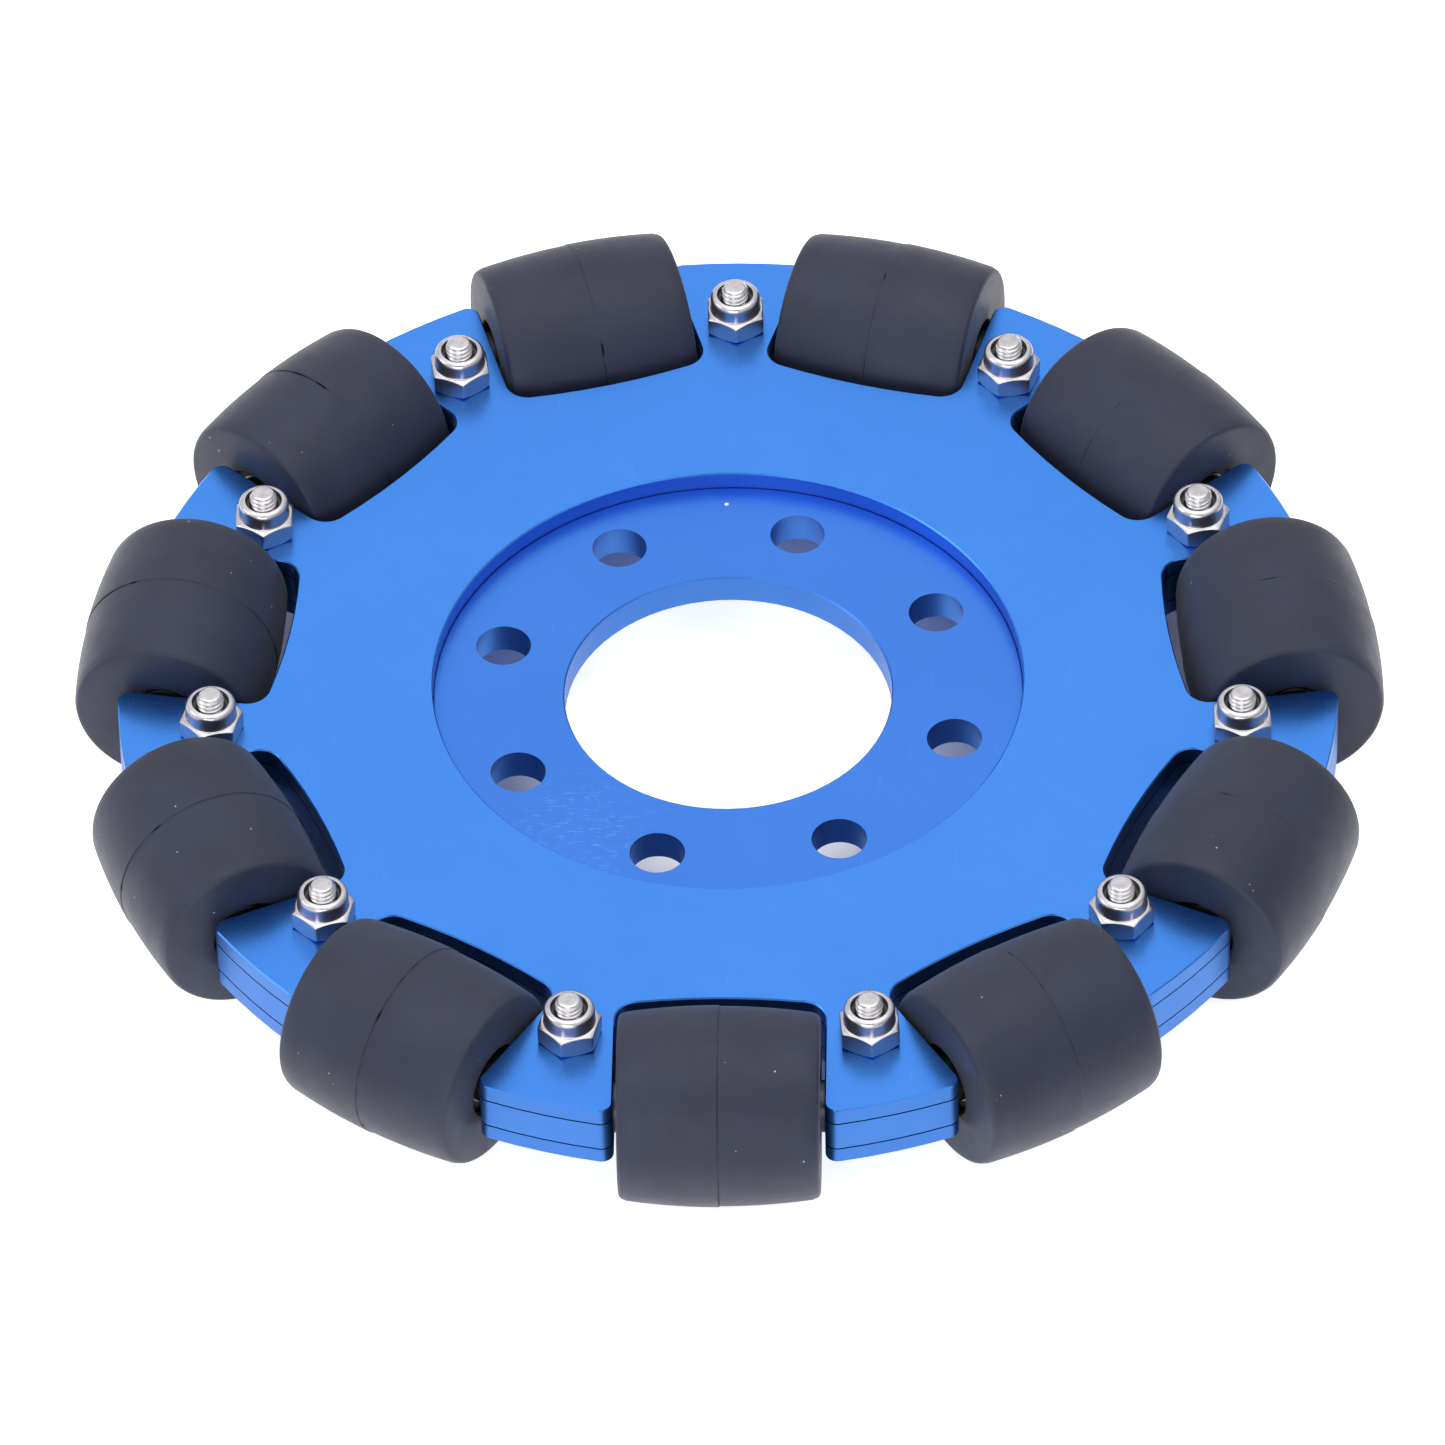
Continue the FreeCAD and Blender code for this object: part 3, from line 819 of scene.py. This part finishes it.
def screw_surface():
    """A button head screw with a real helical thread where it shows, tip first."""
    columns = 72
    angles = [2 * math.pi * column / columns for column in range(columns)]
    tip_chamfer = 0.58 * MM
    tip_round = 0.1 * MM
    thread_start = PLATE_TOP + INSERT_LOW
    rows = [ring(part * MM, SCREW_TOP - drop * MM, angles)
            for part, drop in ((0.7, 0.0), (1.2, 0.0), (1.42, 0.012))]
    step = THREAD_PITCH / 12
    count = int((SCREW_TOP - thread_start) / step)
    for index in range(count):
        height = SCREW_TOP - tip_round - index * step
        cap = THREAD_RADIUS - tip_chamfer + SCREW_TOP - height
        row = []
        for angle in angles:
            turns = height / THREAD_PITCH - angle / (2 * math.pi)
            reach = THREAD_RADIUS - THREAD_DEPTH * thread_depth_at(turns)
            reach = min(reach, cap)
            row.append(Vector((reach * math.cos(angle), reach * math.sin(angle), height)))
        rows.append(row)
    seat = PLATE_LOW
    dome = 0.35 * MM
    rows += [ring(THREAD_RADIUS, thread_start - 0.2 * MM, angles),
             ring(THREAD_RADIUS, seat, angles),
             ring(HEAD_RADIUS - 0.15 * MM, seat, angles),
             ring(HEAD_RADIUS, seat - 0.12 * MM, angles),
             ring(HEAD_RADIUS, seat - dome, angles)]
    steps = 9
    height = seat - dome - HEAD_LOW
    for index in range(1, steps + 1):
        swing = math.pi / 2 * index / steps
        reach = HEAD_FLAT + (HEAD_RADIUS - HEAD_FLAT) * math.cos(swing)
        rows.append(ring(reach, seat - dome - height * math.sin(swing), angles))
    socket = hexagon_radius(SOCKET_FLATS, 0.98)
    rows += [ring(lambda angle: socket(angle) + 0.15 * MM, HEAD_LOW, angles),
             ring(socket, HEAD_LOW + 0.12 * MM, angles),
             ring(socket, HEAD_LOW + SOCKET_DEPTH, angles),
             ring(0.6 * MM, HEAD_LOW + SOCKET_DEPTH + 0.12 * MM, angles)]
    return skin(rows)


def make_fasteners(nut_metal, screw_metal, nylon):
    """All the nuts, inserts and screws."""
    on_top = tooth_places(PLATE_TOP, NUT_TURNS)
    points, faces = nut_surface()
    nuts = make_mesh("lock_nuts_detailed", *repeated(points, faces, on_top), nut_metal)
    crisp(nuts)
    points, faces = insert_surface()
    inserts = make_mesh("nut_inserts_detailed", *repeated(points, faces, on_top), nylon)
    points, faces = screw_surface()
    level = tooth_places(0, SOCKET_TURNS)
    screws = make_mesh("clamp_screws_detailed", *repeated(points, faces, level), screw_metal)
    crisp(screws)
    for piece, node, slot in ((nuts, "lock_nuts", "nut_steel"),
                              (inserts, "nut_inserts", "nylon"),
                              (screws, "clamp_screws", "screw_steel")):
        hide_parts(node)
        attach(piece, "frame")


# ---------------------------------------------------------------- the whole wheel

def dress(node, material):
    """Give a CAD node its finish."""
    slots = frame["nodes"][node].data.materials
    slots.clear()
    slots.append(material)


def dress_nodes():
    """Finishes for the CAD nodes that show as they are."""
    cover = anodised("anodised_cover", (0.067, 0.266, 0.825), (0.064, 0.257, 0.805),
                     COVER_WALL_SHADE, RECESS_WALL_REFLECTION, 0.24, 0.31, 0.76)[0]
    core, *layers = anodised("anodised_core", (0.061, 0.219, 0.725), (0.057, 0.209, 0.70),
                             CORE_WALL_SHADE, CORE_WALL_SHADE, 0.30, 0.38, 0.72)
    recess_wear_and_shade(core, *layers)
    pin = bright_metal("pin_steel", (0.56, 0.55, 0.54), 0.18, 0.34, 9000)
    bearing = bright_metal("bearing_steel", (0.60, 0.59, 0.58), 0.16, 0.30, 6000)
    # The axle washers and inner spacers are coloured near black as painted shade for the dark gaps
    # at the roller ends.
    washer_shade_steel = bright_metal("dark_washer", (0.10, 0.11, 0.14), 0.3, 0.45, 3000)
    seal = moulded_plastic("seal_rubber", (0.022, 0.022, 0.026), (0.012, 0.012, 0.015), 0.45, 0.65)
    sleeve = moulded_plastic("core_plastic", (0.035, 0.035, 0.042), (0.02, 0.02, 0.025), 0.4, 0.6)
    dress("top_plate", cover.material)
    dress("bottom_plate", cover.material)
    dress("middle_plate", core.material)
    dress("roller_axles", pin)
    dress("axle_washers", washer_shade_steel)
    dress("inner_spacers", washer_shade_steel)
    dress("bearing_inner_rings", bearing)
    for index in range(ROLLER_COUNT):
        name = "roller_{:02d}".format(index + 1)
        dress(name + "_core", sleeve)
        dress(name + "_bearings", bearing)
        dress(name + "_seals", seal)


bpy.context.scene.view_settings.view_transform = "Standard"
make_camera()
make_lights()
make_floor()
dress_nodes()
tyre_rubber = rubber("tyre_rubber", (0.014, 0.018, 0.044), (0.010, 0.013, 0.033))
for roller in range(ROLLER_COUNT):
    make_tyre(roller, tyre_rubber)
make_fasteners(
    bright_metal("nut_metal", (0.60, 0.59, 0.63), 0.16, 0.26, 4000),
    bright_metal("screw_metal", (0.64, 0.62, 0.65), 0.18, 0.30, 2500),
    # The inserts' nylon is coloured near black as painted shade, for the insert deep inside the
    # nut's collar.
    moulded_plastic("nylon", (0.06, 0.06, 0.07), (0.04, 0.04, 0.045), 0.35, 0.5),
)
